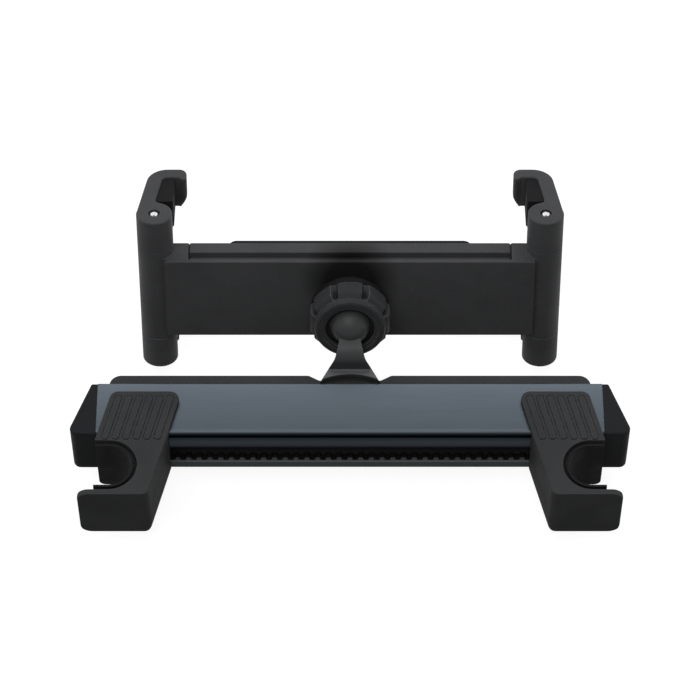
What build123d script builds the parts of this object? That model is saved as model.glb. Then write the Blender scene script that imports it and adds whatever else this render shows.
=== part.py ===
from build123d import *
import math
import os

os.makedirs("parts", exist_ok=True)

# Headrest tablet mount, in millimetres.
# X runs along the clamp bar, Y from the headrest posts towards the tablet, Z up along the posts.
# The origin lies midway between the axes of the two posts, at the middle of the bar's height.
# The cradle is drawn upright about the centre of the ball, and leans back by cradle_tilt at the end.

# Small roundings shared by several pieces
thin_edge = 0.2
fine_edge = 0.3
soft_edge = 0.5
round_edge = 0.8
wide_edge = 1.5

# Headrest posts and the hooks' jaws
post_setback = 4.85
post_bore = 14.8
liner_wall = 1.95
liner_recess = 0.4
liner_end = 4.7
liner_foot = 1.0
liner_rim_wall = 0.8
liner_rim_height = 1.2
liner_corner_radius = 2.5
post_to_rail = 12.9

# Rail
rail_length = 167.7
rail_depth = 19.8
rail_height = 21.2
cover_wall = 1.6
cover_edge_radius = 1.2
cover_flange_drop = 8.7
cover_lip_drop = 4.0
cover_gap = 0.05
cover_flute_depth = 0.7
cover_flute_drop = 3.4
cover_flute_radius = 2.0
front_lip_height = 3.6
front_lip_wall = 0.8
floor_wall = 1.5
rear_wall = 4.0
spine_length = 160.4
spine_depth = 4.0
spine_drop = 1.5
spine_corner_radius = 3.9
notch_depth = 2.0
notch_flare = 3.8
notch_curve = 1.9

# Rack strip on the floor of the rail
rack_pitch = 3.6
rack_tooth_height = 1.0
rack_tooth_share = 0.65
rack_tooth_angle = 62.0
rack_strip_width = 3.0
rack_end_gap = 1.0
rack_drop = 0.3

# End caps
cap_rear_width = 2.2
cap_front_width = 9.8
cap_corner_radius = 2.5
cap_edge_radius = 0.8
plug_length = 5.5
plug_wall = 2.0
plug_clearance = 0.15

# Hooks
hook_skew = 14.5
hook_inner_reach = 15.9
hook_outer_reach = 7.3
hook_front_reach = 11.2
hook_height = 24.2
hook_edge_radius = 1.2
hook_top_edge = 0.6
hook_corner_radius = 2.8
finger_reach = 10.1
finger_corner = 4.0
finger_tip_radius = 0.8
grip_thickness = 1.7
grip_clearance = 0.3
grip_setback = 4.4
grip_corner_radius = 3.0
grip_bars = 6
grip_bar_pitch = 3.45
grip_bar_width = 1.9
grip_bar_radius = 0.6
grip_groove_width = 0.35
grip_groove_depth = 0.45
grip_bar_height = 0.2
grip_bar_length = 17.1
grip_bar_front = 9.9
tongue_width = 12.0
tongue_inset = 9.0
slot_clearance = 0.5
runner_width = 16.0
runner_clearance = 0.3
detent_pocket_height = 2.8
leaf_thickness = 0.35
leaf_width = 1.6
leaf_half_span = 7.0
leaf_bump_half = 1.9

# Ball arm
ball_diameter = 14.0
ball_behind_rail = 17.0
ball_above_rail = 10.5
neck_thickness = 4.8
neck_droop = 18.0
neck_bend_radius = 6.0
neck_setback = 4.4
neck_heel_radius = 4.0
fan_lean = 33.0
neck_width_at_ball = 6.6
neck_width_at_bend = 10.0
neck_shoulder_width = 14.4
fan_ball_line = 15.3
fan_bend_line = 8.2
fan_foot_line = 4.8
fan_corner_line = 0.3
fan_corner_radius = 3.0
foot_width = 20.0
foot_edge = 0.2
foot_rise = 1.7
foot_arch = 2.4
foot_step = 0.6
flange_depth = 4.6
flange_height = 17.0
flange_clearance = 0.2
arm_screw_spacing = 11.0
arm_screw_radius = 2.0
arm_screw_head_radius = 3.4
arm_screw_head_height = 1.8
arm_screw_key_radius = 1.6
arm_screw_key_sides = 6
arm_screw_clearance = 0.1

# Ball socket, seen along the cradle's own depth direction
running_gap = 0.1
seat_wall = 1.7
seat_depth = 9.4
ball_pad_thickness = 0.8
ball_pad_angle = 28.0
ball_pad_travel = 24.0
thread_radius = 10.4
socket_front = 0.6
boss_radius = 9.8
boss_length = 4.4
collet_front = 1.8
collet_taper = 1.1
collet_slit = 1.0
collet_wedge = 0.8
nut_radius = 13.8
nut_rim_radius = 10.4
nut_mouth_radius = 8.1
nut_front = 3.4
nut_shoulder = 3.4
nut_rear = 8.3
nut_dish = 0.4
nut_lobes = 8
flute_radius = 2.6
flute_depth = 1.9
flute_run_out = 0.1131

# Cradle
cradle_tilt = 17.0
cradle_length = 107.4
cradle_height = 31.4
cradle_corner_radius = 0.4
cradle_back_depth = 12.9
back_plate_overhang = 8.0
back_wall = 1.5
groove_depth = 2.0
rim_wall = 1.0
rim_height = 3.8
shell_depth = 5.6
shell_wall = 2.6
shell_edge_radius = 0.8
pad_length = 82.0
pad_margin = 0.5
pad_thickness = 1.4
pad_corner_radius = 3.0
pad_groove_count = 9
pad_groove_inset = 4.1
pad_groove_width = 1.2
pad_groove_depth = 0.5
cradle_screw_places = (18.0, 36.0)
cradle_screw_radius = 1.25
cradle_screw_head_radius = 2.3
cradle_screw_head_height = 1.4
cradle_screw_cross = 0.6
cradle_screw_tail = 1.0
screw_post_radius = 2.6

# Arms, their racks and the pinion between them
seam_gap = 0.2
bracket_corner_radius = 0.3
column_radius = 6.0
column_setback = 7.1
column_setout = 11.3
column_height = 62.0
knuckle_height = 12.3
knuckle_gap = 0.2
blade_thickness = 2.5
blade_gap = 0.4
blade_end_gap = 2.7
blade_outer = 10.0
gear_module = 1.0
gear_teeth = 10
gear_addendum = 0.8
gear_dedendum = 1.0
gear_pressure_angle = 25.0
gear_backlash = 0.2
pinion_post_radius = 1.9
arm_spring_radius = 1.0
arm_spring_wire = 0.5
arm_spring_height = 11.2
arm_spring_hook = 2.0
spring_lug_place = 4.5
spring_lug_width = 2.0
spring_post_inset = 3.7
spring_post_radius = 0.9

# Claws
claw_reach = 24.3
claw_lean = 8.5
claw_arm = 5.0
claw_lip = 4.5
claw_lip_end = 10.0
claw_bead = 2.0
claw_bead_width = 2.6
claw_outer_radius = 7.0
claw_end_radius = 2.6
claw_inner_radius = 1.8
claw_pad_reach = 6.0
claw_pad_recess = 0.8
claw_pad_gap = 1.2
claw_pad_corner = 1.0
claw_edge_radius = 0.6
claw_lip_chamfer = 2.2
pin_radius = 1.2
pin_clearance = 0.05
pin_recess_radius = 2.0
pin_recess_depth = 1.8
pin_head_drop = 0.5
pin_slot_depth = 1.0
pin_slot = 0.7

# Places worked out from the sizes above
flange_half = foot_width / 2
rail_half = rail_length / 2
post_spacing = rail_length - 2 * post_setback
post_x = post_spacing / 2
rail_front = post_to_rail
rail_rear = rail_front + rail_depth
spine_rear = rail_rear + spine_depth
rail_top = rail_height / 2
rail_bottom = -rail_height / 2
spine_top = rail_top - spine_drop
floor_top = rail_bottom + floor_wall
front_lip_top = rail_bottom + front_lip_height
flange_bottom = rail_top - cover_flange_drop
rail_inner_front = rail_front + front_lip_wall
rail_inner_rear = rail_rear - rear_wall
channel_front = rail_front + max(cover_wall, front_lip_wall)
cover_underside = rail_top - cover_wall
body_top = cover_underside - cover_gap
lip_groove_front = rail_rear - cover_wall - cover_gap
lip_groove_bottom = rail_top - cover_lip_drop - cover_gap
rack_tip = front_lip_top - rack_drop
rack_root = rack_tip - rack_tooth_height
rack_length = rail_length - 2 * (plug_length + rack_end_gap)
rack_teeth = 2 * math.floor((rack_length / rack_pitch - 1) / 2) + 1
hook_top = rail_top + grip_clearance + grip_thickness
hook_bottom = hook_top - hook_height
grip_rear = rail_rear - grip_setback
hook_rear = rail_front - grip_clearance
runner_x = post_x - tongue_inset
runner_front = channel_front + runner_clearance
strip_rear = rail_inner_front + cover_gap + rack_strip_width
tongue_bottom = front_lip_top + slot_clearance
tongue_top = flange_bottom - slot_clearance
jaw_radius = post_bore / 2 + liner_wall
grip_middle = (hook_outer_reach - hook_inner_reach) / 2
hook_sweep = 3 * hook_inner_reach
grip_bar_middle = grip_bar_front + grip_bar_length / 2 * math.cos(math.radians(hook_skew))
ball_radius = ball_diameter / 2
ball_y = rail_rear + ball_behind_rail
ball_z = rail_top + ball_above_rail
notch_floor = spine_rear - notch_depth
cradle_place = Location((0, ball_y, ball_z), (-cradle_tilt, 0, 0))
back_inside = cradle_back_depth + back_wall
rim_top = back_inside + rim_height
shell_front = rim_top + shell_depth
shell_inside = shell_front - shell_wall
blade_back = back_inside + blade_gap
blade_front = blade_back + blade_thickness
cradle_half = cradle_length / 2
cradle_top = cradle_height / 2
back_plate_length = cradle_length + 2 * back_plate_overhang
pad_height = cradle_height - 2 * pad_margin
pad_groove_length = pad_length - 2 * pad_groove_inset
rim_outer = cradle_top - groove_depth
rim_inner = rim_outer - rim_wall
column_offset = cradle_half + column_setout
column_y = cradle_back_depth + column_setback
column_top = column_height / 2
claw_bottom = column_top - knuckle_height
middle_top = claw_bottom - knuckle_gap
pitch_radius = gear_module * gear_teeth / 2
gear_pitch = math.pi * gear_module
seat_radius = ball_radius + running_gap + seat_wall
pocket_radius = ball_radius + ball_pad_thickness + 2 * running_gap
arch_radius = (flange_half**2 + foot_arch**2) / (2 * foot_arch)
blade_reach = cradle_half - rim_wall - blade_end_gap
blade_middle = (blade_outer + pitch_radius - gear_addendum) / 2
blade_slot_height = blade_outer - pitch_radius + gear_addendum + 2 * blade_gap
blade_slot_back = blade_back - blade_gap / 2
rack_tooth_count = math.floor(blade_reach / gear_pitch)
spring_post_place = cradle_half - spring_post_inset
lug_height = arm_spring_height + arm_spring_radius - blade_outer


def outline(corners):
    """A face with straight sides. Each corner is (x, y, radius)."""
    points = [(x, y) for x, y, r in corners]
    radii = [r for x, y, r in corners]
    with BuildLine() as edge:
        FilletPolyline(*points, radius=radii, close=True)
    make_face(edge.edges())


def save(piece, name):
    piece.part.label = name
    export_step(piece.part, f"parts/{name}.step")


def save_pair(piece, name):
    """The piece is the right-hand one. The left-hand one is its mirror image."""
    with BuildPart() as left:
        mirror(piece.part, about=Plane.YZ)
    save(piece, "right_" + name)
    save(left, "left_" + name)


def save_cradle(piece, name):
    """A cradle piece leans back with the cradle before it is written."""
    piece.part.move(cradle_place)
    save(piece, name)


def skewed(x, y):
    """A point of the right-hand hook: x from the post's axis, leaning outward to the front."""
    return post_x + x - y * math.tan(math.radians(hook_skew))


# Rail cover: an extrusion with a fluted front flange and a rear lip
with BuildPart() as rail_cover:
    with BuildSketch(Plane.YZ.offset(-rail_half)):
        outline([
            (rail_front, flange_bottom, fine_edge),
            (rail_front + cover_flute_depth, rail_top - cover_flute_drop, cover_flute_radius),
            (rail_front, rail_top, cover_edge_radius),
            (rail_rear, rail_top, fine_edge),
            (rail_rear, rail_top - cover_lip_drop, 0),
            (rail_rear - cover_wall, rail_top - cover_lip_drop, 0),
            (rail_rear - cover_wall, cover_underside, 0),
            (rail_front + cover_wall, cover_underside, fine_edge),
            (rail_front + cover_wall, flange_bottom, fine_edge),
        ])
    extrude(amount=rail_length)

# Rail body: the channel under the cover, and the spine behind it with its notch for the arm
with BuildPart() as rail_body:
    with BuildSketch(Plane.YZ.offset(-rail_half)):
        outline([
            (rail_front, rail_bottom, fine_edge),
            (rail_rear + cover_gap, rail_bottom, 0),
            (rail_rear + cover_gap, lip_groove_bottom, 0),
            (lip_groove_front, lip_groove_bottom, 0),
            (lip_groove_front, body_top, 0),
            (rail_inner_rear, body_top, 0),
            (rail_inner_rear, floor_top, round_edge),
            (rail_inner_front, floor_top, 0),
            (rail_inner_front, front_lip_top, thin_edge),
            (rail_front, front_lip_top, fine_edge),
        ])
    extrude(amount=rail_length)
    with BuildSketch(Plane.XY.offset(rail_bottom)):
        outline([
            (-spine_length / 2, rail_rear, 0),
            (spine_length / 2, rail_rear, 0),
            (spine_length / 2, spine_rear, spine_corner_radius),
            (flange_half + notch_flare, spine_rear, notch_curve),
            (flange_half + flange_clearance, notch_floor, notch_curve),
            (-flange_half - flange_clearance, notch_floor, notch_curve),
            (-flange_half - notch_flare, spine_rear, notch_curve),
            (-spine_length / 2, spine_rear, spine_corner_radius),
        ])
    extrude(amount=spine_top - rail_bottom)
    with Locations(Plane.XZ.offset(-rail_inner_rear)):
        with GridLocations(arm_screw_spacing, 1, 2, 1):
            CounterBoreHole(
                radius=arm_screw_radius + arm_screw_clearance,
                counter_bore_radius=arm_screw_head_radius + arm_screw_clearance,
                counter_bore_depth=arm_screw_head_height + arm_screw_clearance,
                depth=spine_rear - rail_inner_rear,
            )

# Rack strip: a bar on the floor behind the front lip, with a row of small teeth
with BuildPart() as rack_strip:
    with BuildSketch(Plane.XZ.offset(-rail_inner_front - cover_gap)):
        with Locations((0, (floor_top + rack_root) / 2)):
            Rectangle(rack_length, rack_root - floor_top)
        with Locations((0, rack_root)):
            with GridLocations(rack_pitch, 1, rack_teeth, 1):
                Trapezoid(
                    rack_pitch * rack_tooth_share,
                    rack_tooth_height,
                    rack_tooth_angle,
                    align=(Align.CENTER, Align.MIN),
                )
    extrude(amount=-rack_strip_width)

# End cap: a slanted outer block and a hollow plug inside the end of the rail
with BuildPart() as end_cap:
    with BuildSketch(Plane.XY.offset(rail_bottom)):
        outline([
            (rail_half, rail_front, 0),
            (rail_half + cap_front_width, rail_front, cap_corner_radius),
            (rail_half + cap_rear_width, rail_rear, round_edge),
            (rail_half, rail_rear, 0),
        ])
    extrude(amount=rail_height)
    top_edges = end_cap.edges().group_by(Axis.Z)[-1]
    fillet(top_edges.filter_by(Axis.Y, reverse=True).sort_by(Axis.X)[-1], cap_edge_radius)
    with BuildSketch(Plane.YZ.offset(rail_half)):
        outline([
            (channel_front + plug_clearance, floor_top + plug_clearance, round_edge),
            (rail_inner_rear - plug_clearance, floor_top + plug_clearance, round_edge),
            (rail_inner_rear - plug_clearance, body_top - plug_clearance, round_edge),
            (channel_front + plug_clearance, body_top - plug_clearance, round_edge),
        ])
        offset(amount=-plug_wall, mode=Mode.SUBTRACT)
    extrude(amount=-plug_length)

# Hook: jaw, ridged grip over the cover, and a tongue through the slot to a runner in the rail
skew = math.radians(hook_skew)
side_plane = Plane(
    origin=(skewed(-hook_inner_reach, 0), 0, 0),
    x_dir=(math.cos(skew), math.sin(skew), 0),
    z_dir=(math.sin(skew), -math.cos(skew), 0),
)
with BuildPart() as hook:
    with BuildSketch(Plane.XY.offset(hook_bottom)):
        outline([
            (skewed(-hook_inner_reach, hook_rear), hook_rear, 0),
            (skewed(-hook_inner_reach, -hook_front_reach), -hook_front_reach, hook_corner_radius),
            (post_x + finger_reach, -hook_front_reach, finger_tip_radius),
            (post_x + finger_reach, 0, 0),
            (skewed(hook_outer_reach, jaw_radius), jaw_radius, 0),
            (skewed(hook_outer_reach, hook_rear), hook_rear, 0),
        ])
    extrude(amount=hook_height)
    with BuildSketch(Plane.XY.offset(hook_bottom)):
        with Locations((post_x, 0)):
            Circle(jaw_radius)
        outline([
            (post_x, -jaw_radius, 0),
            (post_x + 2 * jaw_radius, -jaw_radius, 0),
            (post_x + 2 * jaw_radius, jaw_radius, 0),
            (post_x, jaw_radius, 0),
        ])
    extrude(amount=hook_height, mode=Mode.SUBTRACT)
    tip = (post_x + finger_reach, -jaw_radius, 0)
    fillet(hook.edges().filter_by(Axis.Z).sort_by_distance(tip)[0], finger_tip_radius)
    wall_end = (skewed(hook_outer_reach, hook_rear), (jaw_radius + hook_rear) / 2, hook_bottom)
    fillet(hook.edges().sort_by_distance(wall_end)[0], hook_corner_radius)
    with BuildSketch(Plane.XZ.offset(-hook_rear)):
        outline([
            (post_x - hook_sweep, hook_bottom, 0),
            (post_x + finger_reach, hook_bottom, finger_corner),
            (post_x + finger_reach, hook_top, finger_corner),
            (post_x - hook_sweep, hook_top, 0),
        ])
    extrude(amount=hook_rear + hook_sweep, mode=Mode.INTERSECT)
    with BuildSketch(Plane.XY.offset(hook_top - grip_thickness)):
        outline([
            (skewed(-hook_inner_reach, hook_rear), hook_rear, 0),
            (skewed(hook_outer_reach, hook_rear), hook_rear, 0),
            (skewed(hook_outer_reach, grip_rear), grip_rear, grip_corner_radius),
            (skewed(-hook_inner_reach, grip_rear), grip_rear, grip_corner_radius),
        ])
    extrude(amount=grip_thickness)
    with BuildSketch(side_plane):
        outline([
            (0, hook_bottom, hook_edge_radius),
            (hook_sweep, hook_bottom, 0),
            (hook_sweep, hook_top, 0),
            (0, hook_top, hook_top_edge),
        ])
    extrude(amount=hook_sweep, both=True, mode=Mode.INTERSECT)
    with BuildSketch(Plane.XY.offset(tongue_bottom)):
        with Locations((runner_x, (hook_rear + runner_front) / 2)):
            Rectangle(tongue_width, runner_front - hook_rear)
    extrude(amount=tongue_top - tongue_bottom)
    with BuildSketch(Plane.YZ.offset(runner_x - runner_width / 2)):
        outline([
            (runner_front, tongue_bottom, 0),
            (strip_rear + runner_clearance, tongue_bottom, 0),
            (strip_rear + runner_clearance, floor_top + runner_clearance, soft_edge),
            (rail_inner_rear - runner_clearance, floor_top + runner_clearance, soft_edge),
            (rail_inner_rear - runner_clearance, body_top - runner_clearance, soft_edge),
            (runner_front, body_top - runner_clearance, soft_edge),
        ])
    extrude(amount=runner_width)
    with BuildSketch(Plane.XY.offset(tongue_bottom)):
        with Locations((runner_x, (runner_front + strip_rear) / 2)):
            Rectangle(runner_width, leaf_width + 2 * runner_clearance)
    extrude(amount=detent_pocket_height, mode=Mode.SUBTRACT)
    bar_places = [grip_middle + (bar - (grip_bars - 1) / 2) * grip_bar_pitch for bar in range(grip_bars)]
    with BuildSketch(Plane.XY.offset(hook_top)):
        for bar_x in bar_places:
            with Locations((skewed(bar_x, grip_bar_middle), grip_bar_middle)):
                RectangleRounded(
                    grip_bar_width + 2 * grip_groove_width,
                    grip_bar_length + 2 * grip_groove_width,
                    grip_bar_radius + grip_groove_width,
                    rotation=hook_skew,
                )
    extrude(amount=-grip_groove_depth, mode=Mode.SUBTRACT)
    with BuildSketch(Plane.XY.offset(hook_top - grip_groove_depth)):
        for bar_x in bar_places:
            with Locations((skewed(bar_x, grip_bar_middle), grip_bar_middle)):
                RectangleRounded(grip_bar_width, grip_bar_length, grip_bar_radius, rotation=hook_skew)
    extrude(amount=grip_groove_depth + grip_bar_height)

# Liner: rubber, round the inner half of the jaw and straight out to its mouth, with a thin rim on top
with BuildPart() as hook_liner:
    with BuildSketch(Plane.XY.offset(hook_bottom - liner_foot)):
        with Locations((post_x, 0)):
            Circle(jaw_radius)
            Rectangle(liner_end, 2 * jaw_radius, align=(Align.MIN, Align.CENTER))
            Circle(post_bore / 2, mode=Mode.SUBTRACT)
            Rectangle(2 * jaw_radius, post_bore, align=(Align.MIN, Align.CENTER), mode=Mode.SUBTRACT)
        with Locations((post_x + liner_end, 0)):
            Rectangle(jaw_radius, 2 * jaw_radius, align=(Align.MIN, Align.CENTER), mode=Mode.SUBTRACT)
    extrude(amount=hook_height + liner_foot - liner_recess)
    with BuildSketch(Plane.XY.offset(hook_top - liner_recess)):
        with Locations((post_x, 0)):
            Circle(jaw_radius)
            Rectangle(jaw_radius, 2 * jaw_radius, align=(Align.MIN, Align.CENTER))
            Circle(post_bore / 2 + liner_rim_wall, mode=Mode.SUBTRACT)
            Rectangle(
                2 * jaw_radius,
                post_bore + 2 * liner_rim_wall,
                align=(Align.MIN, Align.CENTER),
                mode=Mode.SUBTRACT,
            )
    extrude(amount=-liner_rim_height, mode=Mode.SUBTRACT)
    foot_corner = (post_x + liner_end, jaw_radius, hook_bottom - liner_foot)
    fillet(hook_liner.edges().filter_by(Axis.Y).sort_by_distance(foot_corner)[0], liner_corner_radius)

# Detent spring: a bent leaf under the runner whose bump sits in a valley of the rack
detent_x = rack_pitch * math.floor(runner_x / rack_pitch) + rack_pitch / 2
leaf_top = tongue_bottom + detent_pocket_height - leaf_thickness / 2 - running_gap
leaf_tip = rack_root + leaf_thickness + running_gap
with BuildPart() as detent_spring:
    with BuildSketch(Plane.XZ.offset(-(runner_front + strip_rear - leaf_width) / 2)):
        with BuildLine():
            FilletPolyline(
                (detent_x - leaf_half_span, leaf_top),
                (detent_x - leaf_bump_half, leaf_top - leaf_thickness),
                (detent_x, leaf_tip),
                (detent_x + leaf_bump_half, leaf_top - leaf_thickness),
                (detent_x + leaf_half_span, leaf_top),
                radius=leaf_thickness,
            )
        trace(line_width=leaf_thickness)
    extrude(amount=-leaf_width)

# Ball arm: a neck that flares from the ball to a foot on the spine, with a flange in the notch
droop = math.radians(neck_droop)
neck_front = rail_rear + neck_setback
neck_rear = neck_front + neck_thickness
fan_sweep = 3 * foot_width
neck_rise = neck_thickness / 2 / math.cos(droop)


def along_neck(y, lift):
    """Height of the sloping neck at y, lifted from the line through the ball's centre."""
    return ball_z - (ball_y - y) * math.tan(droop) + lift


lean = math.radians(fan_lean)
fan_plane = Plane(
    origin=(0, rail_rear, rail_top),
    x_dir=(1, 0, 0),
    z_dir=(0, -math.sin(lean), math.cos(lean)),
)
with BuildPart() as ball_arm:
    with BuildSketch(Plane.YZ.offset(-flange_half)):
        outline([
            (ball_y, along_neck(ball_y, neck_rise), 0),
            (neck_front, along_neck(neck_front, neck_rise), neck_bend_radius),
            (neck_front, rail_top + foot_rise, soft_edge),
            (rail_rear + foot_edge, rail_top + foot_rise, soft_edge),
            (rail_rear + foot_edge, spine_top, 0),
            (notch_floor + cover_gap, spine_top, 0),
            (notch_floor + cover_gap, rail_top - flange_height, round_edge),
            (notch_floor + flange_depth, rail_top - flange_height, wide_edge),
            (neck_rear, rail_top, neck_heel_radius),
            (neck_rear, along_neck(neck_rear, -neck_rise), wide_edge),
            (ball_y, along_neck(ball_y, -neck_rise), 0),
        ])
    extrude(amount=foot_width)
    with BuildSketch(fan_plane):
        outline([
            (-flange_half, -fan_sweep, 0),
            (-flange_half, fan_corner_line, fan_corner_radius),
            (-neck_shoulder_width / 2, fan_foot_line, wide_edge),
            (-neck_width_at_bend / 2, fan_bend_line, neck_bend_radius),
            (-neck_width_at_ball / 2, fan_ball_line, 0),
            (-neck_width_at_ball / 2, fan_sweep, 0),
            (neck_width_at_ball / 2, fan_sweep, 0),
            (neck_width_at_ball / 2, fan_ball_line, 0),
            (neck_width_at_bend / 2, fan_bend_line, neck_bend_radius),
            (neck_shoulder_width / 2, fan_foot_line, wide_edge),
            (flange_half, fan_corner_line, fan_corner_radius),
            (flange_half, -fan_sweep, 0),
        ])
    extrude(amount=fan_sweep, both=True, mode=Mode.INTERSECT)
    with Locations((0, ball_y, ball_z)):
        Sphere(ball_radius)
    with BuildSketch(Plane.XY.offset(rail_top - foot_step)):
        with Locations((0, rail_rear + foot_edge + foot_arch - arch_radius)):
            Circle(arch_radius)
    extrude(amount=foot_step + foot_rise, mode=Mode.SUBTRACT)
    with Locations(Plane.XZ.offset(-notch_floor)):
        with GridLocations(arm_screw_spacing, 1, 2, 1):
            Hole(arm_screw_radius + cover_gap, depth=2 * flange_depth)

# Arm screws: from inside the rail through its rear wall into the flange of the arm
with BuildPart() as arm_screws:
    with BuildSketch(Plane.XZ.offset(-rail_inner_rear)):
        with GridLocations(arm_screw_spacing, 1, 2, 1):
            Circle(arm_screw_head_radius)
            RegularPolygon(arm_screw_key_radius, arm_screw_key_sides, mode=Mode.SUBTRACT)
    extrude(amount=-arm_screw_head_height)
    with BuildSketch(Plane.XZ.offset(-rail_inner_rear - arm_screw_head_height / 2)):
        with GridLocations(arm_screw_spacing, 1, 2, 1):
            Circle(arm_screw_radius)
    extrude(amount=rail_inner_rear + arm_screw_head_height / 2 - notch_floor - flange_depth)

# Socket side, drawn upright about the centre of the ball with Y along the cradle's depth
pad_outer = ball_radius + running_gap + ball_pad_thickness
with BuildPart() as ball_pad:
    Sphere(pad_outer)
    Sphere(ball_radius + running_gap, mode=Mode.SUBTRACT)
    with BuildSketch(Plane.XY):
        with BuildLine():
            Polyline(
                (0, 0),
                (2 * pad_outer * math.tan(math.radians(ball_pad_angle)), 2 * pad_outer),
                (0, 2 * pad_outer),
                close=True,
            )
        make_face()
    revolve(axis=Axis.Y, mode=Mode.INTERSECT)

# Ball seat: a cup behind the ball, with a deeper pocket for the friction pad
pocket = ball_pad_angle + ball_pad_travel
pocket_rim = Vector(0, pocket_radius).rotate(Axis.Z, -pocket)
with BuildPart() as ball_seat:
    with BuildSketch(Plane.XY):
        with Locations((0, socket_front + running_gap)):
            Rectangle(seat_radius, seat_depth - socket_front - running_gap, align=(Align.MIN, Align.MIN))
    revolve(axis=Axis.Y)
    Sphere(ball_radius + running_gap, mode=Mode.SUBTRACT)
    with BuildSketch(Plane.XY):
        with BuildLine():
            Line((0, 0), pocket_rim)
            CenterArc((0, 0), pocket_radius, 90 - pocket, pocket)
            Line((0, pocket_radius), (0, 0))
        make_face()
    revolve(axis=Axis.Y, mode=Mode.SUBTRACT)

# Collet ring: a split ring with a tapered outside, closed on the ball by the nut
collet_rear = socket_front - running_gap
collet_tip_radius = thread_radius - collet_taper - collet_wedge
with BuildPart() as collet_ring:
    with BuildSketch(Plane.XY):
        with BuildLine():
            Polyline(
                (0, -collet_front),
                (collet_tip_radius, -collet_front),
                (thread_radius - collet_taper, collet_rear),
                (0, collet_rear),
                close=True,
            )
        make_face()
    revolve(axis=Axis.Y)
    Sphere(ball_radius + running_gap, mode=Mode.SUBTRACT)
    with BuildSketch(Plane.XZ):
        with Locations((0, thread_radius)):
            Rectangle(collet_slit, 2 * thread_radius)
    extrude(amount=thread_radius, both=True, mode=Mode.SUBTRACT)

# Clamp nut: a ring with a rounded rim, a wide mouth and eight lobes parted by flutes that taper off
flute_place = nut_radius - flute_depth + flute_radius
flute_taper = math.degrees(math.atan2(flute_radius - flute_run_out, nut_front + nut_rear))
with BuildPart() as clamp_nut:
    with BuildSketch(Plane.XY):
        outline([
            (nut_mouth_radius, -nut_front + nut_dish, fine_edge),
            (nut_rim_radius, -nut_front, round_edge),
            (nut_radius, -nut_front + nut_shoulder, wide_edge),
            (nut_radius, nut_rear, round_edge),
            (thread_radius + running_gap, nut_rear, 0),
            (thread_radius + running_gap, socket_front, 0),
            (thread_radius - collet_taper + running_gap, socket_front, 0),
            (collet_tip_radius + running_gap, -collet_front - running_gap, 0),
            (nut_mouth_radius, -collet_front - running_gap, 0),
        ])
    revolve(axis=Axis.Y)
    with BuildSketch(Plane.XZ.offset(nut_front)):
        with PolarLocations(flute_place, nut_lobes, start_angle=180 / nut_lobes):
            Circle(flute_radius)
    extrude(amount=-nut_front - nut_rear, taper=flute_taper, mode=Mode.SUBTRACT)

# Cradle back: plate, boss and threaded socket behind, rim and posts inside
with BuildPart() as cradle_back:
    with BuildSketch(Plane.XZ.offset(-cradle_back_depth)):
        RectangleRounded(back_plate_length, cradle_height, cradle_corner_radius)
    extrude(amount=-back_wall)
    with BuildSketch(Plane.XZ.offset(-back_inside)):
        Rectangle(cradle_length, 2 * rim_outer)
        Rectangle(cradle_length - 2 * rim_wall, 2 * rim_inner, mode=Mode.SUBTRACT)
    extrude(amount=-rim_height)
    with BuildSketch(Plane.XZ.offset(-back_inside)):
        for screw_x in cradle_screw_places:
            with Locations((-screw_x, 0), (screw_x, 0)):
                Circle(screw_post_radius)
    extrude(amount=-(shell_inside - back_inside))
    with BuildSketch(Plane.XZ.offset(-back_inside)):
        Circle(pinion_post_radius)
        with Locations((-spring_post_place, -arm_spring_height), (spring_post_place, arm_spring_height)):
            Circle(spring_post_radius)
    extrude(amount=-(shell_inside - back_inside))
    with BuildSketch(Plane.XY):
        outline([
            (0, socket_front, 0),
            (thread_radius, socket_front, fine_edge),
            (thread_radius, cradle_back_depth - boss_length, 0),
            (boss_radius, cradle_back_depth - boss_length, 0),
            (boss_radius, cradle_back_depth, 0),
            (0, cradle_back_depth, 0),
        ])
    revolve(axis=Axis.Y)
    with BuildSketch(Plane.XZ.offset(-socket_front)):
        Circle(seat_radius + running_gap)
    extrude(amount=-(seat_depth + running_gap - socket_front), mode=Mode.SUBTRACT)
    for side in (-1, 1):
        with BuildSketch(Plane.YZ.offset(side * cradle_half)):
            with Locations(((blade_slot_back + rim_top) / 2, -side * blade_middle)):
                Rectangle(rim_top - blade_slot_back, blade_slot_height)
        extrude(amount=2 * rim_wall, both=True, mode=Mode.SUBTRACT)
    with BuildSketch(Plane.XZ.offset(-back_inside)):
        for screw_x in cradle_screw_places:
            with Locations((-screw_x, 0), (screw_x, 0)):
                Circle(cradle_screw_radius + cover_gap)
    extrude(amount=-(shell_inside - back_inside), mode=Mode.SUBTRACT)

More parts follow.
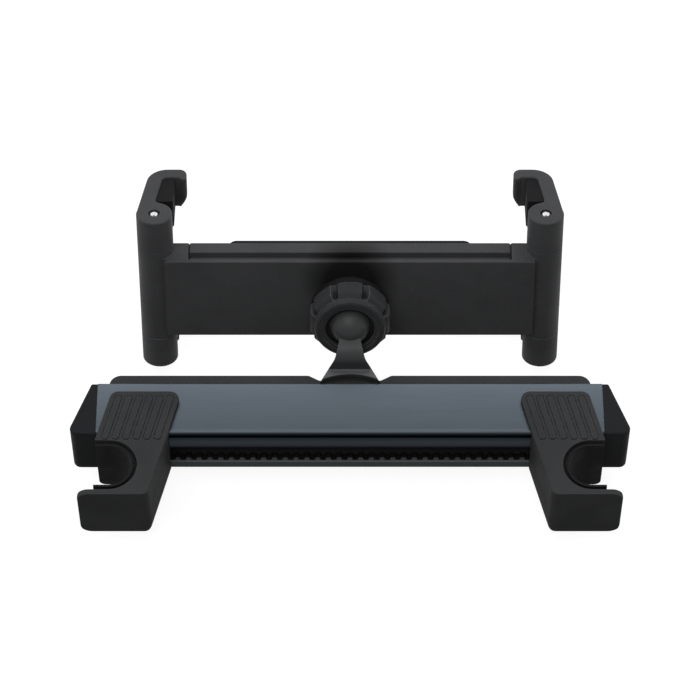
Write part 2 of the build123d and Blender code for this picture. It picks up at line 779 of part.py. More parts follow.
# Cradle front: a shell that closes the back, with sunk seats for its screws
with BuildPart() as cradle_front:
    with BuildSketch(Plane.XZ.offset(-rim_top)):
        RectangleRounded(cradle_length, cradle_height, cradle_corner_radius)
    extrude(amount=-shell_depth)
    front_edges = cradle_front.faces().sort_by(Axis.Y)[-1].edges()
    fillet(front_edges.filter_by(Axis.X), shell_edge_radius)
    with BuildSketch(Plane.XZ.offset(-rim_top)):
        Rectangle(cradle_length - 2 * shell_wall, cradle_height - 2 * shell_wall)
    extrude(amount=-(shell_depth - shell_wall), mode=Mode.SUBTRACT)
    with BuildSketch(Plane.XZ.offset(-shell_front)):
        for screw_x in cradle_screw_places:
            with Locations((-screw_x, 0), (screw_x, 0)):
                Circle(cradle_screw_head_radius + running_gap)
    extrude(amount=cradle_screw_head_height, mode=Mode.SUBTRACT)
    with BuildSketch(Plane.XZ.offset(-shell_front)):
        for screw_x in cradle_screw_places:
            with Locations((-screw_x, 0), (screw_x, 0)):
                Circle(cradle_screw_radius + running_gap)
    extrude(amount=shell_wall, mode=Mode.SUBTRACT)

# Cradle screws: four, with crosshead recesses, hidden by the pad
with BuildPart() as cradle_screws:
    with BuildSketch(Plane.XZ.offset(-shell_front + cradle_screw_head_height)):
        for screw_x in cradle_screw_places:
            with Locations((-screw_x, 0), (screw_x, 0)):
                Circle(cradle_screw_head_radius)
                Rectangle(cradle_screw_radius * 2, cradle_screw_cross, mode=Mode.SUBTRACT)
                Rectangle(cradle_screw_cross, cradle_screw_radius * 2, mode=Mode.SUBTRACT)
    extrude(amount=-cradle_screw_head_height)
    with BuildSketch(Plane.XZ.offset(-shell_front + cradle_screw_head_height / 2)):
        for screw_x in cradle_screw_places:
            with Locations((-screw_x, 0), (screw_x, 0)):
                Circle(cradle_screw_radius)
    extrude(amount=shell_front - cradle_screw_head_height / 2 - back_inside - cradle_screw_tail)

# Front pad: rubber, a little taller than the shell, grooved towards the tablet
with BuildPart() as front_pad:
    with BuildSketch(Plane.XZ.offset(-shell_front)):
        RectangleRounded(pad_length, pad_height, pad_corner_radius)
    extrude(amount=-pad_thickness)
    with BuildSketch(Plane.XZ.offset(-shell_front - pad_thickness)):
        with GridLocations(1, pad_height / (pad_groove_count + 1), 1, pad_groove_count):
            SlotOverall(pad_groove_length, pad_groove_width)
    extrude(amount=pad_groove_depth, mode=Mode.SUBTRACT)

# Right arm: bracket with the middle knuckle of the column, and a blade with a rack in the cradle
rack_half_width = (gear_pitch - gear_backlash) / 4
blade_length = blade_reach + column_offset - column_radius
rack_back = pitch_radius + gear_dedendum
rack_front = pitch_radius - gear_addendum
slope = math.tan(math.radians(gear_pressure_angle))
with BuildPart() as right_arm:
    with BuildSketch(Plane.XY.offset(-cradle_top)):
        outline([
            (cradle_half + seam_gap, back_inside + seam_gap, 0),
            (column_offset, back_inside + seam_gap, 0),
            (column_offset, shell_front, 0),
            (cradle_half + seam_gap, shell_front, bracket_corner_radius),
        ])
    extrude(amount=cradle_height)
    front_edges = right_arm.faces().sort_by(Axis.Y)[-1].edges()
    fillet(front_edges.filter_by(Axis.X), shell_edge_radius)
    with BuildSketch(Plane.XY.offset(-middle_top)):
        with Locations((column_offset, column_y)):
            Circle(column_radius)
    extrude(amount=2 * middle_top)
    with BuildSketch(Plane.XZ.offset(-blade_back)):
        with Locations((-blade_reach, -blade_outer)):
            Rectangle(blade_length, blade_outer - rack_back, align=(Align.MIN, Align.MIN))
        for tooth in range(-rack_tooth_count, 2):
            tooth_x = tooth * gear_pitch
            with BuildLine() as flank:
                Polyline(
                    (tooth_x - rack_half_width - slope * gear_dedendum, -rack_back),
                    (tooth_x - rack_half_width + slope * gear_addendum, -rack_front),
                    (tooth_x + rack_half_width - slope * gear_addendum, -rack_front),
                    (tooth_x + rack_half_width + slope * gear_dedendum, -rack_back),
                    close=True,
                )
            make_face(flank.edges())
        with Locations((-spring_lug_place, -blade_outer)):
            Rectangle(spring_lug_width, lug_height, align=(Align.CENTER, Align.MAX))
    extrude(amount=-blade_thickness)
    with BuildSketch(Plane.XY.offset(-middle_top)):
        with Locations((column_offset, column_y)):
            Circle(pin_radius + pin_clearance)
    extrude(amount=2 * middle_top, mode=Mode.SUBTRACT)

# Left arm: the same moulding turned half round, so that its rack lies above the pinion
with BuildPart() as left_arm:
    add(right_arm.part.rotate(Axis.Y, 180))

# Pinion: involute teeth, in mesh with both racks
base_radius = pitch_radius * math.cos(math.radians(gear_pressure_angle))


def involute_angle(radius):
    """Half the angle that a tooth spans at this radius."""
    pressure = math.acos(base_radius / max(radius, base_radius))
    at_pitch = slope - math.radians(gear_pressure_angle)
    half_tooth = (gear_pitch / 2 - gear_backlash) / 2 / pitch_radius
    return half_tooth + at_pitch - (math.tan(pressure) - pressure)


tooth_radii = [pitch_radius - gear_dedendum, base_radius, pitch_radius, pitch_radius + gear_addendum]
with BuildPart() as arm_pinion:
    with BuildSketch(Plane.XZ.offset(-blade_back)):
        rim = []
        for tooth in range(gear_teeth):
            middle = 2 * math.pi * tooth / gear_teeth
            sides = [(radius, -involute_angle(radius)) for radius in tooth_radii]
            sides += [(radius, involute_angle(radius)) for radius in reversed(tooth_radii)]
            for radius, angle in sides:
                rim.append((radius * math.cos(middle + angle), radius * math.sin(middle + angle)))
        with BuildLine():
            Polyline(*rim, close=True)
        make_face()
        Circle(pinion_post_radius + running_gap, mode=Mode.SUBTRACT)
    extrude(amount=-blade_thickness)

# Right arm spring: a close-wound tension spring from a post at the far end to the lug on the blade
spring_y = (blade_back + blade_front) / 2
spring_left = -spring_post_place + spring_post_radius
spring_right = -spring_lug_place - spring_lug_width / 2
with BuildPart() as right_arm_spring:
    with BuildSketch(Plane.YZ.offset(spring_left + arm_spring_hook)):
        with Locations((spring_y, -arm_spring_height)):
            Circle(arm_spring_radius)
    extrude(amount=spring_right - spring_left - 2 * arm_spring_hook)
    with BuildSketch(Plane.YZ.offset(spring_left)):
        with Locations((spring_y, -arm_spring_height)):
            Circle(arm_spring_wire / 2)
    extrude(amount=spring_right - spring_left)

with BuildPart() as left_arm_spring:
    add(right_arm_spring.part.rotate(Axis.Y, 180))

# Claws: knuckle, leaning arm and inturned lip, one above and one below the bracket
claw_front = column_y + claw_reach
lean_in = math.tan(math.radians(claw_lean))
outer_x = column_offset + column_radius
inner_x = outer_x - claw_arm / math.cos(math.radians(claw_lean))
lip_tip_x = column_offset - claw_lip_end


def leaning(x, y):
    """A point of the claw at this depth, where x is given beside the pin."""
    return x - (y - column_y) * lean_in


with BuildPart() as upper_claw:
    with BuildSketch(Plane.XY.offset(claw_bottom)) as claw_plan:
        with Locations((column_offset, column_y)):
            Circle(column_radius)
        outline([
            (inner_x, column_y, 0),
            (outer_x, column_y, 0),
            (leaning(outer_x, claw_front), claw_front, claw_outer_radius),
            (lip_tip_x, claw_front, claw_end_radius),
            (lip_tip_x, claw_front - claw_lip - claw_bead, round_edge),
            (lip_tip_x + claw_bead_width, claw_front - claw_lip, round_edge),
            (leaning(inner_x, claw_front - claw_lip), claw_front - claw_lip, claw_inner_radius),
        ])
        crook = (column_offset, column_y + column_radius)
        fillet(claw_plan.vertices().sort_by_distance(crook)[0], claw_inner_radius)
    extrude(amount=knuckle_height)
    top_edges = upper_claw.faces().sort_by(Axis.Z)[-1].edges()
    fillet(top_edges, claw_edge_radius)
    with BuildSketch(Plane.XZ.offset(-(claw_front - claw_lip / 2))):
        with BuildLine():
            Polyline(
                (lip_tip_x, claw_bottom),
                (lip_tip_x, claw_bottom + 2 * claw_lip_chamfer),
                (lip_tip_x + claw_lip_chamfer, claw_bottom),
                close=True,
            )
        make_face()
    extrude(amount=claw_lip, both=True, mode=Mode.SUBTRACT)
    with BuildSketch(Plane.XY.offset(claw_bottom)):
        with Locations((column_offset, column_y)):
            Circle(pin_radius + pin_clearance)
    extrude(amount=knuckle_height, mode=Mode.SUBTRACT)
    with BuildSketch(Plane.XY.offset(column_top)):
        with Locations((column_offset, column_y)):
            Circle(pin_recess_radius)
    extrude(amount=-pin_recess_depth, mode=Mode.SUBTRACT)

# Claw pad: rubber inside the claw, recessed from its faces
pad_back = column_y + column_radius + claw_pad_gap
with BuildPart() as upper_claw_pad:
    with BuildSketch(Plane.XY.offset(claw_bottom + claw_pad_recess)):
        outline([
            (leaning(inner_x, pad_back), pad_back, claw_pad_corner),
            (leaning(inner_x, claw_front - claw_lip), claw_front - claw_lip, claw_inner_radius),
            (column_offset - claw_pad_reach, claw_front - claw_lip, 0),
            (column_offset - claw_pad_reach, pad_back, claw_pad_corner),
        ])
    extrude(amount=knuckle_height - 2 * claw_pad_recess)

with BuildPart() as lower_claw:
    mirror(upper_claw.part, about=Plane.XY)
with BuildPart() as lower_claw_pad:
    mirror(upper_claw_pad.part, about=Plane.XY)

# Claw pin: steel, through all three knuckles, with a slotted end
pin_top = column_top - pin_head_drop
with BuildPart() as claw_pin:
    with BuildSketch(Plane.XY.offset(-pin_top)):
        with Locations((column_offset, column_y)):
            Circle(pin_radius)
    extrude(amount=2 * pin_top)
    with BuildSketch(Plane.XY.offset(pin_top)):
        with Locations((column_offset, column_y - pin_radius)):
            Rectangle(pin_slot, pin_radius)
    extrude(amount=-pin_slot_depth, mode=Mode.SUBTRACT)

save(rail_cover, "rail_cover")
save(rail_body, "rail_body")
save(rack_strip, "rack_strip")
save_pair(end_cap, "end_cap")
save_pair(hook, "hook")
save_pair(hook_liner, "hook_liner")
save_pair(detent_spring, "detent_spring")
save(ball_arm, "ball_arm")
save(arm_screws, "arm_screws")

both_sides = {
    "upper_claw": upper_claw,
    "lower_claw": lower_claw,
    "upper_claw_pad": upper_claw_pad,
    "lower_claw_pad": lower_claw_pad,
    "claw_pin": claw_pin,
}
for name, right in both_sides.items():
    with BuildPart() as left:
        mirror(right.part, about=Plane.YZ)
    save_cradle(right, "right_" + name)
    save_cradle(left, "left_" + name)

middle_pieces = {
    "ball_pad": ball_pad,
    "ball_seat": ball_seat,
    "collet_ring": collet_ring,
    "clamp_nut": clamp_nut,
    "cradle_back": cradle_back,
    "cradle_front": cradle_front,
    "cradle_screws": cradle_screws,
    "front_pad": front_pad,
    "right_arm": right_arm,
    "left_arm": left_arm,
    "arm_pinion": arm_pinion,
    "right_arm_spring": right_arm_spring,
    "left_arm_spring": left_arm_spring,
}
for name, piece in middle_pieces.items():
    save_cradle(piece, name)
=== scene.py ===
import bpy
import math
from mathutils import Matrix, Vector


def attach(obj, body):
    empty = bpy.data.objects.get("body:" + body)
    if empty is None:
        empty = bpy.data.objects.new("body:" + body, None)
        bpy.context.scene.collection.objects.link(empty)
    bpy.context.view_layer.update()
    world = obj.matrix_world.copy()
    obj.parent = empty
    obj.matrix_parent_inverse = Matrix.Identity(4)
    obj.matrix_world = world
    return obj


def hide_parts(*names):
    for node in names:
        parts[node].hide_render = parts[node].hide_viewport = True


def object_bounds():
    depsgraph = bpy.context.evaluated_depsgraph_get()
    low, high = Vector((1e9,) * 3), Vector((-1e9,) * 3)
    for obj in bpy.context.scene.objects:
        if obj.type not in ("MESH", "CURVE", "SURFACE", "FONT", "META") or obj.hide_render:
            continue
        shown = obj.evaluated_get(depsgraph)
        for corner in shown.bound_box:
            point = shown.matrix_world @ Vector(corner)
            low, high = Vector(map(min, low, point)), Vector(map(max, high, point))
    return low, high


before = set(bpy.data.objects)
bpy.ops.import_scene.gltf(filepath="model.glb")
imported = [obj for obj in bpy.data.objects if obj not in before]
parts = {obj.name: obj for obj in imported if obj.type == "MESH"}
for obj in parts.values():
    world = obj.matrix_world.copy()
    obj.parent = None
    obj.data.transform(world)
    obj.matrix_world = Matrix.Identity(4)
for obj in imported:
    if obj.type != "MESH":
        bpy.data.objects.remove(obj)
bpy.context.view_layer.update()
scene = bpy.context.scene
MM = 0.001

# The cradle is drawn upright about the ball's centre, and leans back
BALL = Vector((0, 49.7, 21.1)) * MM
LEAN_ANGLE = math.radians(-17)
LEAN = Matrix.Translation(BALL) @ Matrix.Rotation(LEAN_ANGLE, 4, "X")


def new_node(tree, kind, inputs=None, **settings):
    """A node with these settings; each input is a value or another node's socket."""
    node = tree.nodes.new(kind)
    for name, value in settings.items():
        setattr(node, name, value)
    for name, value in (inputs or {}).items():
        if isinstance(value, bpy.types.NodeSocket):
            tree.links.new(value, node.inputs[name])
        else:
            node.inputs[name].default_value = value
    return node


def maths(tree, operation, a, b):
    """The outcome of a maths node; a and b are values or other nodes' sockets."""
    return new_node(tree, "ShaderNodeMath", {0: a, 1: b}, operation=operation).outputs[0]


class Finish:
    """A material whose nodes are added one after another."""

    # How far a normal agrees with its bevelled one on the flats and on an edge
    FLAT, EDGE = 0.99, 0.82

    def __init__(self, name, color, roughness, metallic=0.0, specular=0.5):
        self.material = bpy.data.materials.new(name)
        self.material.use_nodes = True
        self.tree = self.material.node_tree
        self.surface = self.tree.nodes["Principled BSDF"].inputs
        self.surface["Base Color"].default_value = (*color, 1)
        self.surface["Roughness"].default_value = roughness
        self.surface["Metallic"].default_value = metallic
        self.surface["Specular IOR Level"].default_value = specular
        self.color = color
        self.point = self.add("ShaderNodeTexCoord").outputs["Object"]
        self.normal = None

    def add(self, kind, inputs=None, **settings):
        return new_node(self.tree, kind, inputs, **settings)

    def plus(self, a, b):
        return maths(self.tree, "ADD", a, b)

    def times(self, a, b):
        return maths(self.tree, "MULTIPLY", a, b)

    def power(self, a, b):
        return maths(self.tree, "POWER", a, b)

    def vector(self, operation, a, b=None):
        """A vector node, with one input or two."""
        inputs = {0: a} if b is None else {0: a, 1: b}
        return self.add("ShaderNodeVectorMath", inputs, operation=operation).outputs

    def noise(self, scale, detail, roughness=0.55, vector=None):
        inputs = {"Vector": vector or self.point, "Scale": scale, "Detail": detail,
                  "Roughness": roughness}
        return self.add("ShaderNodeTexNoise", inputs).outputs["Fac"]

    def lines(self, scales, detail):
        """Noise with a scale of its own along each axis."""
        inputs = {"Vector": self.point, "Scale": scales}
        stretched = self.add("ShaderNodeMapping", inputs).outputs[0]
        return self.noise(1.0, detail, 0.6, stretched)

    def cells(self, scale):
        inputs = {"Vector": self.point, "Scale": scale}
        return self.add("ShaderNodeTexVoronoi", inputs).outputs["Distance"]

    def ranged(self, value, low, high, out_low=0.0, out_high=1.0):
        inputs = {"Value": value, "From Min": low, "From Max": high,
                  "To Min": out_low, "To Max": out_high}
        return self.add("ShaderNodeMapRange", inputs).outputs[0]

    def ramp(self, axis, start, end):
        """A mask along an axis that is 0 up to the start and 1 from the end on, both in mm."""
        along = self.add("ShaderNodeSeparateXYZ", {"Vector": self.point}).outputs[axis]
        return self.ranged(along, start * MM, end * MM)

    def edges(self, radius):
        """A mask that is 1 on edges and 0 on the flats, from a small shading bevel in mm."""
        self.normal = self.add("ShaderNodeBevel", {"Radius": radius * MM}, samples=3).outputs[0]
        flat = self.add("ShaderNodeNewGeometry").outputs["Normal"]
        agreed = self.vector("DOT_PRODUCT", self.normal, flat)["Value"]
        return self.ranged(agreed, self.FLAT, self.EDGE)

    def mix(self, mask, before, after):
        inputs = {0: mask, 6: before, 7: after}
        return self.add("ShaderNodeMix", inputs, data_type="RGBA").outputs[2]

    def tint(self, mask, color):
        """The colour so far turns into this colour where the mask is 1."""
        so_far = self.surface["Base Color"]
        before = so_far.links[0].from_socket if so_far.links else so_far.default_value[:]
        self.tree.links.new(self.mix(mask, before, (*color, 1)), so_far)

    def shade(self, mask, factor):
        """The colour so far turns into the plain colour times this factor where the mask is 1."""
        self.tint(mask, tuple(c * factor for c in self.color))

    def dull(self, mask, grey):
        """A metal's glancing shine turns into this grey where the mask is 1."""
        shine = self.mix(mask, (1, 1, 1, 1), (grey, grey, grey, 1))
        self.tree.links.new(shine, self.surface["Specular Tint"])

    def rough(self, value):
        self.tree.links.new(value, self.surface["Roughness"])

    def bump(self, height, depth, strength):
        """Relief in the normal alone, with its depth in mm."""
        inputs = {"Height": height, "Distance": depth * MM, "Strength": strength}
        if self.normal is not None:
            inputs["Normal"] = self.normal
        self.normal = self.add("ShaderNodeBump", inputs).outputs[0]

    def done(self):
        if self.normal is not None:
            self.tree.links.new(self.normal, self.surface["Normal"])
        return self.material


def moulded(name, color, roughness, grain=1.0, specular=0.06, edge_highlight=2.2, more=None):
    """Spark-eroded black plastic: fine pitted grain, cloudy gloss, and paler edges, partly wear
    and partly a painted highlight.
    """
    m = Finish(name, color, roughness, specular=specular)
    cloud = m.noise(55, 4)
    m.shade(m.ranged(cloud, 0.35, 0.7), 0.82)
    speck = m.noise(2600, 2)
    m.shade(m.ranged(speck, 0.56, 0.72, 0.0, 0.35), 1.5)
    # Paler edges, partly wear and partly a painted highlight
    wear_and_highlight = m.ranged(m.noise(420, 3), 0.3, 0.7, 0.45, 1.0)
    m.shade(m.times(m.edges(0.35), wear_and_highlight), edge_highlight)
    gloss = m.plus(m.ranged(cloud, 0.3, 0.7, -0.05, 0.05), m.ranged(speck, 0.3, 0.7, -0.06, 0.06))
    m.rough(m.plus(gloss, roughness))
    if more:
        more(m)
    m.bump(m.plus(m.cells(1900), m.noise(3400, 2)), 0.02 * grain, 0.6)
    return m.done()


def anodised(name, color):
    """Satin anodised aluminium: an even sheen with fine lines along the extrusion."""
    m = Finish(name, color, 0.36, metallic=1.0)
    lines = m.lines((70, 2600, 2600), 4)
    m.shade(m.ranged(lines, 0.4, 0.75, 0.0, 0.5), 1.12)
    cloud = m.noise(30, 3)
    m.shade(m.ranged(cloud, 0.4, 0.75, 0.0, 0.5), 0.93)
    # Painted light on the cover: the top face is painted darker towards the front as shade, its
    # edges are paler from wear and a painted highlight, the brink of the top face has a painted
    # highlight, and the flange below is painted darker as shade, most of all under the brink and
    # at its foot.
    front = m.power(m.ramp("Y", 33, 13), 0.6)
    worn_and_highlit_edges = m.times(m.edges(0.3), 0.5)
    brink_highlight = m.times(m.ramp("Y", 14.9, 14.6), m.ramp("Z", 10.4, 10.55))
    flange_shade = m.ramp("Z", 10.5, 9.8)
    under_brink_shade = m.times(m.ramp("Z", 5.2, 8.6), flange_shade)
    flange_foot_shade = m.ramp("Z", 3.8, 2.2)
    zones = ((front, 0.6), (worn_and_highlit_edges, 1.3), (brink_highlight, 0.8), (flange_shade, 0.5), (under_brink_shade, 0.15), (flange_foot_shade, 0.2))
    for zone, factor in zones:
        m.shade(zone, factor)
    m.dull(flange_shade, 0.3)
    m.rough(m.plus(m.ranged(lines, 0.3, 0.7, -0.04, 0.04), 0.37))
    m.bump(lines, 0.003, 0.5)
    m.bump(m.noise(2200, 2), 0.004, 0.4)
    return m.done()


def rubber(name, color):
    """Matt moulded rubber with a dusty bloom."""
    m = Finish(name, color, 0.78, specular=0.1)
    bloom = m.noise(140, 5, 0.65)
    m.shade(m.ranged(bloom, 0.45, 0.75, 0.0, 0.6), 1.7)
    # Paler edges: a painted highlight
    m.shade(m.times(m.edges(0.3), 0.6), 1.9)
    m.rough(m.ranged(bloom, 0.3, 0.7, 0.7, 0.88))
    m.bump(m.noise(1500, 4, 0.6), 0.03, 0.6)
    return m.done()


def metal(name, color, roughness, scales=(900, 900, 900)):
    """Plated or drawn steel, with fine tool marks."""
    m = Finish(name, color, roughness, metallic=1.0)
    marks = m.lines(scales, 3)
    m.shade(m.ranged(marks, 0.4, 0.7, 0.0, 0.6), 0.8)
    # Paler edges: a painted highlight
    m.shade(m.times(m.edges(0.15), 0.5), 1.3)
    m.rough(m.ranged(marks, 0.3, 0.7, roughness - 0.06, roughness + 0.08))
    m.bump(marks, 0.004, 0.5)
    return m.done()


def nylon(name, color):
    """Natural nylon: waxy, slightly mottled."""
    m = Finish(name, color, 0.42, specular=0.4)
    mottle = m.noise(260, 4)
    m.shade(m.ranged(mottle, 0.4, 0.7, 0.0, 0.6), 0.9)
    # Paler edges: a painted highlight
    m.shade(m.times(m.edges(0.2), 0.4), 1.15)
    m.rough(m.ranged(mottle, 0.3, 0.7, 0.36, 0.5))
    m.bump(m.noise(1300, 3), 0.01, 0.5)
    return m.done()


def painted_nut_shadow(m):
    """The cradle's plate is darker round the clamp nut: a painted shadow of the nut."""
    centre = Vector((0, 64.4, 25.0)) * MM
    outer, inner = 17 * MM, 8 * MM
    away = m.vector("DISTANCE", m.point, centre)["Value"]
    m.shade(m.ranged(away, outer, inner), 0.2)


def rack_painted_light_and_shade(m):
    """The rack is painted dark below the tips of its teeth and behind their front ends, as shade
    under the cover, so that only the front ends keep the rack's paler colour, as a painted
    highlight.
    """
    shaded_below, shaded_behind = m.ramp("Z", -8.15, -8.3), m.ramp("Y", 14.7, 14.8)
    m.shade(shaded_below, 0.1)
    m.shade(shaded_behind, 0.12)


def foot_highlight_and_shade(m):
    """The top of the arm's foot has a painted highlight, and the step in front of it painted
    shade.
    """
    highlit_top = m.times(m.ramp("Z", 12.0, 12.2), m.ramp("Z", 12.7, 12.5))
    m.shade(highlit_top, 2.2)
    # Painted shade on the step in front of the foot
    step = m.times(m.ramp("Z", 11.2, 10.4), m.ramp("Y", 36.4, 36.0))
    m.shade(step, 0.2)


def lip_shade(m):
    """The front lip of the rail has the cover's blue-grey, and a painted highlight along its
    upper rim.
    """
    blue_grey, bright = (0.05, 0.058, 0.064), (0.13, 0.14, 0.148)
    lip = m.times(m.ramp("Z", -6.2, -6.6), m.ramp("Y", 13.8, 13.6))
    m.tint(lip, blue_grey)
    # A painted highlight along the lip's top
    m.tint(m.times(lip, m.ramp("Z", -7.25, -7.15)), bright)


def nut_painted_shade(m):
    """The flutes between the nut's lobes and the collar behind them are darker: painted shade."""
    across = m.vector("SUBTRACT", m.point, BALL)[0]
    turned = {"Vector": across, "Axis": (1, 0, 0), "Angle": -LEAN_ANGLE}
    upright = m.add("ShaderNodeVectorRotate", turned).outputs[0]
    split = m.add("ShaderNodeSeparateXYZ", {"Vector": upright}).outputs
    flat = m.add("ShaderNodeCombineXYZ", {"X": split["X"], "Z": split["Z"]}).outputs[0]
    radius = m.vector("LENGTH", flat)["Value"]
    flute_shade = m.ranged(radius, 13.0 * MM, 12.2 * MM)
    past_rim = m.ranged(split["Y"], -0.9 * MM, 0.3 * MM)
    collar_shade = m.ranged(split["Y"], 5.2 * MM, 5.7 * MM)
    m.shade(m.times(flute_shade, past_rim), 0.35)
    m.shade(collar_shade, 0.25)


# The edge factor of each moulded finish is how much paler its edges are: partly wear, partly a
# painted highlight.
finishes = {
    "anodised": anodised("anodised_aluminium", (0.06, 0.072, 0.085)),
    "rail": moulded("black_plastic_rail", (0.045, 0.046, 0.048), 0.5, more=lip_shade),
    # The rack's paler colour shows only at the teeth's front ends, as a painted highlight.
    "rack": moulded("black_plastic_rack", (0.1, 0.104, 0.108), 0.45, more=rack_painted_light_and_shade),
    "cap": moulded("black_plastic_cap", (0.025, 0.026, 0.028), 0.45, specular=0.012, edge_highlight=4.5),
    "hook": moulded("black_plastic_hook", (0.055, 0.056, 0.058), 0.6,
                    grain=1.3, specular=0.01, edge_highlight=2.6),
    "cradle": moulded("black_plastic_cradle", (0.072, 0.073, 0.076), 0.52, more=painted_nut_shadow),
    "claw": moulded("black_plastic_claw", (0.072, 0.073, 0.076), 0.55, grain=1.3, edge_highlight=3.2),
    "nut": moulded("black_plastic_nut", (0.042, 0.043, 0.045), 0.42,
                   specular=0.03, edge_highlight=5.5, more=nut_painted_shade),
    "casting": moulded("black_casting", (0.05, 0.051, 0.053), 0.42,
                       grain=1.6, specular=0.2, more=foot_highlight_and_shade),
    "collet": moulded("black_nylon", (0.012, 0.012, 0.012), 0.6),
    "rubber": rubber("black_rubber", (0.011, 0.011, 0.012)),
    "nylon": nylon("natural_nylon", (0.6, 0.57, 0.5)),
    "steel": metal("zinc_steel", (0.5, 0.5, 0.52), 0.32),
    "spring": metal("spring_steel", (0.42, 0.42, 0.43), 0.3, (2400, 2400, 2400)),
    "pin": metal("bright_pin", (0.8, 0.8, 0.8), 0.25, (1500, 1500, 200)),
}
worn_by = {
    "rail_cover": "anodised", "rail_body": "rail", "rack_strip": "rack", "end_cap": "cap",
    "hook": "hook", "hook_liner": "rubber", "detent_spring": "spring",
    "ball_arm": "casting", "arm_screws": "steel", "ball_pad": "nylon", "ball_seat": "nylon",
    "collet_ring": "collet", "clamp_nut": "nut",
    "cradle_back": "cradle", "cradle_front": "cradle", "cradle_screws": "steel",
    "front_pad": "rubber", "arm": "cradle", "arm_pinion": "nylon", "arm_spring": "spring",
    "upper_claw": "claw", "lower_claw": "claw", "claw_pin": "pin",
    "upper_claw_pad": "rubber", "lower_claw_pad": "rubber",
}
for name, part in parts.items():
    short = name.removeprefix("left_").removeprefix("right_")
    part.data.materials.clear()
    part.data.materials.append(finishes[worn_by[short]])


def solid(name, points, faces, finish, body):
    """A piece of its own that rides on this body, from points in mm on the upright cradle."""
    mesh = bpy.data.meshes.new(name)
    mesh.from_pydata([LEAN @ (Vector(point) * MM) for point in points], [], faces)
    mesh.validate()
    piece = bpy.data.objects.new(name, mesh)
    scene.collection.objects.link(piece)
    mesh.materials.append(finishes[finish])
    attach(piece, body)
    return piece


# Clamp nut: flat lobes with flutes between them, a collar behind, flutes and collar painted
# darker as shade, and a raised ring round the mouth. Each row is the depth, the radius, and how
# far the lobes shape that ring.
LOBES = 8
FACET = 16.5        # degrees from the middle of a lobe's facet to its end
FLUTE = 0.15        # the share of the radius that a flute cuts away
ROUND = 192         # points round the nut
CREASE = math.radians(24)
nut_rows = [
    (8.3, 10.5, 0.0), (8.3, 12.9, 0.0), (8.0, 13.2, 0.0), (5.9, 13.3, 0.0), (5.6, 13.0, 0.0),
    (5.5, 13.1, 0.2), (5.2, 13.7, 0.35), (3.6, 13.8, 0.6), (2.0, 13.8, 0.85), (0.4, 13.7, 1.0),
    (-0.3, 13.3, 1.0), (-1.0, 12.6, 0.6), (-1.3, 12.0, 0.1), (-1.5, 11.8, 0.0),
    (-2.5, 11.8, 0.0), (-3.1, 11.5, 0.0), (-3.4, 10.9, 0.0), (-3.4, 9.7, 0.0),
    (-3.1, 9.3, 0.0), (-3.05, 8.3, 0.0), (-2.7, 8.1, 0.0), (-1.9, 8.1, 0.0),
    (-1.9, 8.6, 0.0), (0.6, 9.4, 0.0), (0.6, 10.5, 0.0),
]


def lobed(turn):
    """The share of the radius at this turn: a flat facet, and a flute on each side of it."""
    step = 360 / LOBES
    off = abs((turn + step / 2) % step - step / 2)
    if off <= FACET:
        return math.cos(math.radians(FACET)) / math.cos(math.radians(off))
    dip = (off - FACET) / (step / 2 - FACET)
    return 1 - FLUTE * math.sin(math.radians(90) * dip)


points = []
faces = []
for row, (depth, radius, share) in enumerate(nut_rows):
    here, after = row * ROUND, (row + 1) % len(nut_rows) * ROUND
    for k in range(ROUND):
        turn = 360 * k / ROUND
        angle = math.radians(turn)
        r = radius * (1 - share + share * lobed(turn))
        points.append((r * math.sin(angle), depth, r * math.cos(angle)))
        nxt = (k + 1) % ROUND
        faces.append((here + k, here + nxt, after + nxt, after + k))
nut = solid("nut_ring", points, faces, "nut", "nut")
nut.data.polygons.foreach_set("use_smooth", [True] * len(nut.data.polygons))
nut.data.set_sharp_from_angle(angle=CREASE)
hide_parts("clamp_nut")

# Seam strips: thin dark fillings between the cradle's ends and the arms' brackets, clear
# of the blades. The right side is the left one turned half round.
SEAM_X = (53.72, 53.86)
SEAM_Y = (14.8, 23.2)
SEAM_Z = {"long": (-3.8, 15.3), "short": (-15.3, -10.5)}
BLOCK = [(0, 1, 3, 2), (4, 6, 7, 5), (0, 4, 5, 1), (2, 3, 7, 6), (0, 2, 6, 4), (1, 5, 7, 3)]
for side, side_name in ((-1, "left"), (1, "right")):
    for length, span in SEAM_Z.items():
        xs = sorted(side * x for x in SEAM_X)
        zs = sorted(side * z for z in span)
        corners = [(x, y, z) for x in xs for y in SEAM_Y for z in zs]
        strip = solid(f"seam_strip_{side_name}_{length}", corners, BLOCK, "collet", "cradle")

# Floor, pale and white to the camera, with the object's soft shadow
FLOOR_SIZE = 12
FLOOR_GAP = 0.4 * MM
FLOOR_GREY = 0.25
FLOOR_GLOW = 0.9
low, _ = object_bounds()
bpy.ops.mesh.primitive_plane_add(size=FLOOR_SIZE, location=(0, 0, low.z - FLOOR_GAP))
floor = bpy.context.object
floor.name = "floor"


def pale(tree, strength):
    """Light that only the camera, reflections and clear materials see."""
    path = new_node(tree, "ShaderNodeLightPath").outputs
    seen = path["Is Camera Ray"]
    for kind in ("Is Glossy Ray", "Is Transmission Ray"):
        seen = maths(tree, "MAXIMUM", seen, path[kind])
    return maths(tree, "MULTIPLY", seen, strength)


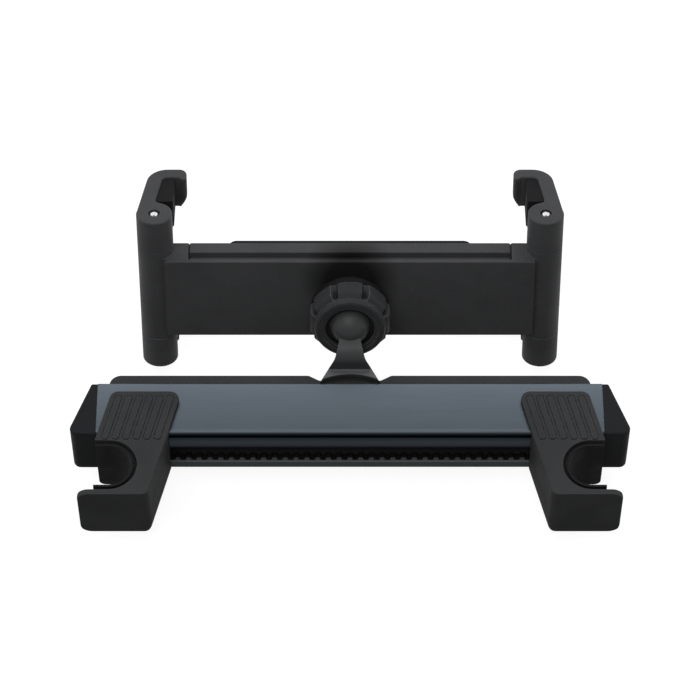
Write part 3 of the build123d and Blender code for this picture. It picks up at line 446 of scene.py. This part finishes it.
floor_material = bpy.data.materials.new("floor")
floor_material.use_nodes = True
tree = floor_material.node_tree
tree.nodes.clear()
grey = (FLOOR_GREY, FLOOR_GREY, FLOOR_GREY, 1)
diffuse = new_node(tree, "ShaderNodeBsdfDiffuse", {"Color": grey})
glow = new_node(tree, "ShaderNodeEmission", {"Strength": pale(tree, FLOOR_GLOW)})
both = new_node(tree, "ShaderNodeAddShader", {0: diffuse.outputs[0], 1: glow.outputs[0]})
new_node(tree, "ShaderNodeOutputMaterial", {"Surface": both.outputs[0]})
floor.data.materials.append(floor_material)

# World: white behind the object, plain grey light on it
SKY_GLOW = 0.85     # what only the camera and reflections see of it
SKY_LIGHT = 0.15    # what lights the object
world = bpy.data.worlds.new("studio")
world.use_nodes = True
scene.world = world
tree = world.node_tree
background = tree.nodes["Background"].inputs
background["Color"].default_value = (1, 1, 1, 1)
tree.links.new(maths(tree, "ADD", pale(tree, SKY_GLOW), SKY_LIGHT), background["Strength"])


def softbox(name, place, aim, width, height, power):
    """A lamp of this size in metres and power in watts, at this place and aimed at a point."""
    lamp = bpy.data.lights.new(name, "AREA")
    lamp.shape = "RECTANGLE"
    lamp.size = width
    lamp.size_y = height
    lamp.energy = power
    box = bpy.data.objects.new(name, lamp)
    box.location = place
    box.rotation_euler = (Vector(aim) - Vector(place)).to_track_quat("-Z", "Y").to_euler()
    scene.collection.objects.link(box)


# The lamps aim at the middle of the mount or at its cradle, in metres
MIDDLE = (0, 0.04, 0.02)
CRADLE = (0, 0.06, 0.02)
softbox("back_light", (0, 0.50, 0.72), MIDDLE, 1.0, 0.5, 3.2)
softbox("front_light", (-0.12, -0.30, 0.90), MIDDLE, 0.6, 0.6, 3.4)
softbox("left_rim_light", (-0.80, 0.35, 0.14), CRADLE, 0.3, 0.3, 1.6)
softbox("right_rim_light", (0.80, 0.35, 0.14), CRADLE, 0.3, 0.3, 1.9)

# Camera at the photograph's angle
TILT = math.radians(57)
DISTANCE = 1.1
TARGET = Vector((0, 42.0, 16.7)) * MM
LENS = 170          # focal length in mm
SENSOR = 36         # width in mm
camera = bpy.data.objects.new("camera", bpy.data.cameras.new("camera"))
camera.data.lens = LENS
camera.data.sensor_width = SENSOR
camera.data.clip_start = 0.01
camera.data.clip_end = 20
camera.location = TARGET + Vector((0, -math.cos(TILT), math.sin(TILT))) * DISTANCE
camera.rotation_euler = (math.radians(90) - TILT, 0, 0)
scene.collection.objects.link(camera)
scene.camera = camera

scene.view_settings.view_transform = "Standard"
